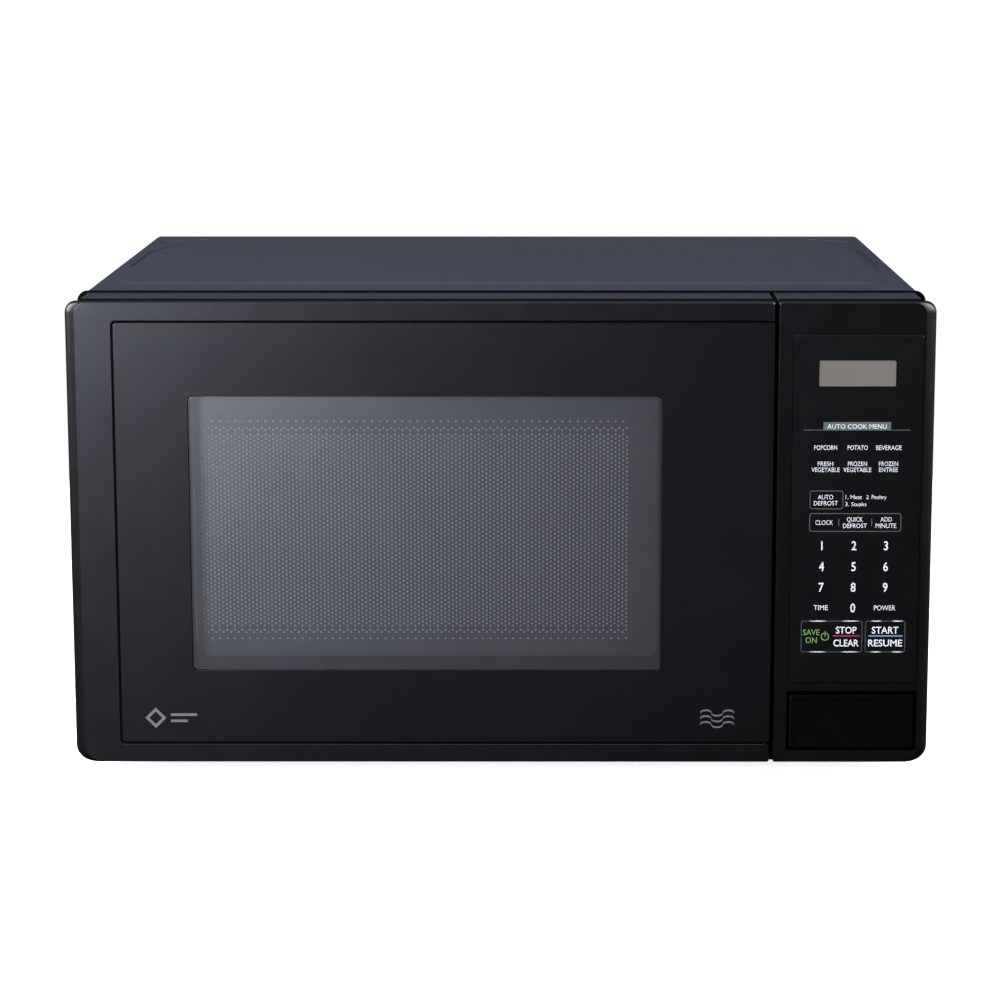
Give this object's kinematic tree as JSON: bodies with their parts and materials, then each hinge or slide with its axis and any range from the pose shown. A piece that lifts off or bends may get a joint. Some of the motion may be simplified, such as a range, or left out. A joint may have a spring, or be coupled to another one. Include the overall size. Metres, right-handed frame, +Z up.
{
  "type": "countertop microwave oven",
  "caption": "Box-shaped countertop microwave oven with a side-hinged windowed door, a keypad column with a push-to-open button and a rotating glass tray in the cavity.",
  "frame": {"origin": "on the floor under the middle of the oven's bounding box", "axes": "+Z up, +X to the right as seen from the front, front (door and keypad) towards -Y"},
  "size_m": [0.455, 0.33, 0.258],
  "materials": {
    "body_gloss": "dark grey to black smooth moulded plastic, satin gloss",
    "panel_black": "black printed keypad and panel plastic, low sheen",
    "glass_black": "black back-printed front plate, glossy",
    "window_smoke": "smoke grey translucent window",
    "cabinet_paint": "blue-grey powder-coated sheet steel, satin",
    "cavity_enamel": "light grey painted steel",
    "steel": "zinc-coated sheet steel",
    "plastic_white": "natural white moulded plastic",
    "plastic_dark": "black moulded plastic",
    "glass_clear": "clear glass or film",
    "mica": "mica sheet",
    "board_green": "circuit board",
    "copper": "enamelled copper winding",
    "rubber": "black rubber",
    "display_grey": "grey display window, unlit"
  },
  "bodies": {
    "oven": {"outer_cabinet": "cabinet_paint", "base_plate": "steel", "foot_front_left": "rubber", "foot_front_right": "rubber", "foot_rear_left": "rubber", "foot_rear_right": "rubber", "rear_panel": "cabinet_paint", "rear_screw_left": "steel", "rear_screw_right": "steel", "cord_gland": "plastic_dark", "front_plate": "cavity_enamel", "cavity": "cavity_enamel", "waveguide": "steel", "waveguide_cover": "mica", "magnetron": "steel", "transformer_core": "steel", "transformer_primary": "copper", "transformer_secondary": "copper", "hv_capacitor": "steel", "hv_diode": "plastic_dark", "fan_motor": "steel", "fan_shroud": "plastic_white", "control_board": "board_green", "display_module": "plastic_white", "line_filter_board": "board_green", "lamp_socket": "plastic_white", "oven_lamp": "glass_clear", "turntable_motor": "steel", "upper_hinge_arm": "steel", "lower_hinge_arm": "steel", "upper_hinge_pin": "steel", "lower_hinge_pin": "steel", "latch_board": "plastic_white", "primary_switch": "plastic_dark", "secondary_switch": "plastic_dark", "monitor_switch": "plastic_dark", "control_panel_frame": "panel_black", "keypad_membrane": "panel_black", "display_window": "display_grey", "button_spring": "steel"},
    "door": {"door_frame": "body_gloss", "door_front_plate": "glass_black", "door_window": "window_smoke", "door_screen": "steel", "inner_film": "glass_clear", "choke_cover": "plastic_dark", "latch_spring": "steel"},
    "latch": {"latch_bar": "plastic_white"},
    "button": {"door_open_button": "panel_black"},
    "lever": {"release_lever": "plastic_white"},
    "primary_plunger": {"primary_plunger": "plastic_white"},
    "secondary_plunger": {"secondary_plunger": "plastic_white"},
    "monitor_plunger": {"monitor_plunger": "plastic_white"},
    "fan": {"fan_blade": "plastic_white"},
    "tray": {"glass_tray": "glass_clear"},
    "coupler": {"drive_coupler": "plastic_white"},
    "ring": {"roller_ring": "plastic_white"},
    "roller_1": {"roller_1": "plastic_white"},
    "roller_2": {"roller_2": "plastic_white"},
    "roller_3": {"roller_3": "plastic_white"}
  },
  "joints": [
    {"name": "door_hinge", "type": "hinge", "parent": "oven", "child": "door", "pos_m": [-0.2175, -0.1385, 0.134], "axis": [0, 0, -1], "range_deg": [0, 100]},
    {"name": "latch_lift", "type": "slide", "parent": "door", "child": "latch", "axis": [0, 0, 1], "range_m": [0, 0.003], "stiffness_N_per_m": 300, "deforming": ["latch_spring"]},
    {"name": "button_push", "type": "slide", "parent": "oven", "child": "button", "axis": [0, 1, 0], "range_m": [0, 0.005], "stiffness_N_per_m": 300, "deforming": ["button_spring"]},
    {"name": "lever_rock", "type": "hinge", "parent": "oven", "child": "lever", "pos_m": [0.16, -0.106, 0.062], "axis": [1, 0, 0], "range_deg": [0, 10]},
    {"name": "fan_spin", "type": "hinge", "parent": "oven", "child": "fan", "pos_m": [0.17, 0.1395, 0.19], "axis": [0, 1, 0], "continuous": true},
    {"name": "tray_spin", "type": "hinge", "parent": "oven", "child": "tray", "pos_m": [-0.0435, 0.0205, 0.0456], "axis": [0, 0, 1], "continuous": true},
    {"name": "coupler_spin", "type": "hinge", "parent": "oven", "child": "coupler", "pos_m": [-0.0435, 0.0205, 0.038], "axis": [0, 0, 1], "continuous": true},
    {"name": "ring_spin", "type": "hinge", "parent": "oven", "child": "ring", "pos_m": [-0.0435, 0.0205, 0.0373], "axis": [0, 0, 1], "continuous": true},
    {"name": "roller_1_spin", "type": "hinge", "parent": "ring", "child": "roller_1", "pos_m": [-0.0435, 0.1165, 0.0373], "axis": [0, 1, 0], "continuous": true},
    {"name": "roller_2_spin", "type": "hinge", "parent": "ring", "child": "roller_2", "pos_m": [-0.12664, -0.0275, 0.0373], "axis": [-0.866, -0.5, 0], "continuous": true},
    {"name": "roller_3_spin", "type": "hinge", "parent": "ring", "child": "roller_3", "pos_m": [0.03964, -0.0275, 0.0373], "axis": [0.866, -0.5, 0], "continuous": true},
    {"name": "primary_switch_press", "type": "slide", "parent": "oven", "child": "primary_plunger", "axis": [0, 1, 0], "range_m": [0, 0.001], "stiffness_N_per_m": 200},
    {"name": "secondary_switch_press", "type": "slide", "parent": "oven", "child": "secondary_plunger", "axis": [0, 1, 0], "range_m": [0, 0.001], "stiffness_N_per_m": 200},
    {"name": "monitor_switch_press", "type": "slide", "parent": "oven", "child": "monitor_plunger", "axis": [0, 1, 0], "range_m": [0, 0.001], "stiffness_N_per_m": 200}
  ],
  "couplings": [
    {"joint": "coupler_spin", "follows": "tray_spin", "ratio": 1},
    {"joint": "ring_spin", "follows": "tray_spin", "ratio": 0.5},
    {"joint": "lever_rock", "follows": "button_push", "rad_per_m": 33.333},
    {"joint": "roller_1_spin", "follows": "tray_spin", "ratio": -6},
    {"joint": "roller_2_spin", "follows": "tray_spin", "ratio": -6},
    {"joint": "roller_3_spin", "follows": "tray_spin", "ratio": -6}
  ]
}
